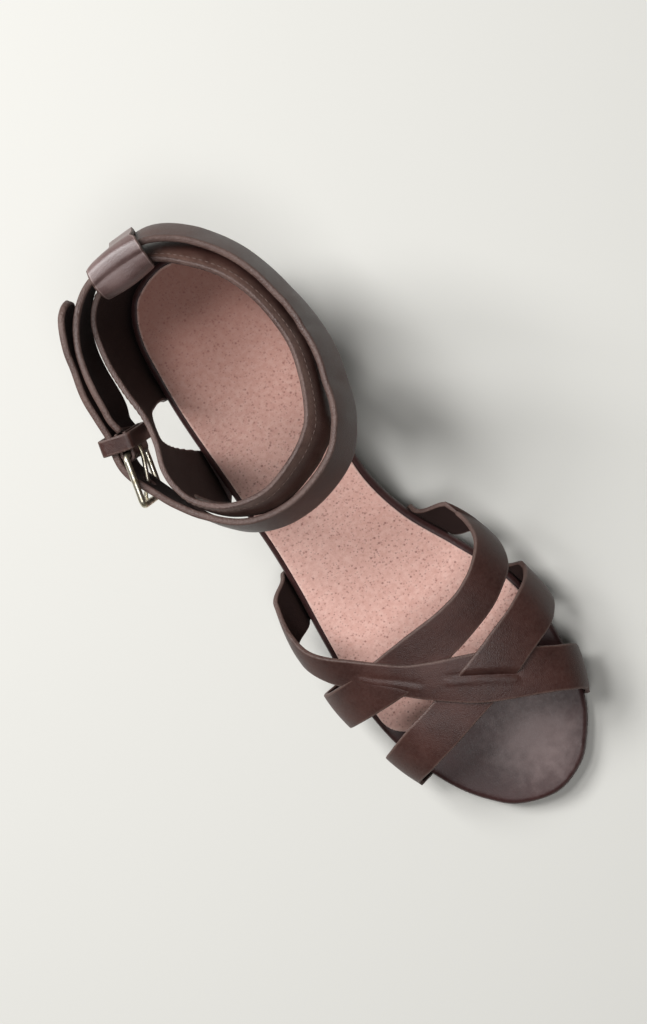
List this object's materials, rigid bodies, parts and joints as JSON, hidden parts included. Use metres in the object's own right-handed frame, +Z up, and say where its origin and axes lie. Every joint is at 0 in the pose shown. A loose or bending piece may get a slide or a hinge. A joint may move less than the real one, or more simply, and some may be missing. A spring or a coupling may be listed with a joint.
{
  "type": "ankle strap sandal",
  "caption": "Leather sandal for a right foot, with woven toe straps, an open-sided heel quarter, a buckled ankle strap and a block heel.",
  "frame": {"origin": "on the floor, under the middle of the shoe's box in plan", "axes": "+Z up, toe towards -Y, inner side of the foot towards +X"},
  "size_m": [0.094, 0.2494, 0.1178],
  "materials": {
    "strap_leather": "smooth dark brown, soft sheen",
    "cover_leather": "smooth dark brown, soft sheen",
    "lining_leather": "matte pigskin with dark pores",
    "sole_rubber": "matte",
    "buckle_metal": "aged, satin"
  },
  "bodies": {
    "root": {"ankle_strap": "strap_leather", "buckle_frame": "buckle_metal", "buckle_prong": "buckle_metal", "footbed": "cover_leather", "heel": "cover_leather", "keeper": "strap_leather", "outsole": "sole_rubber", "quarter": "strap_leather", "sock_lining": "lining_leather", "toe_straps": "strap_leather", "top_piece": "sole_rubber"}
  },
  "joints": []
}
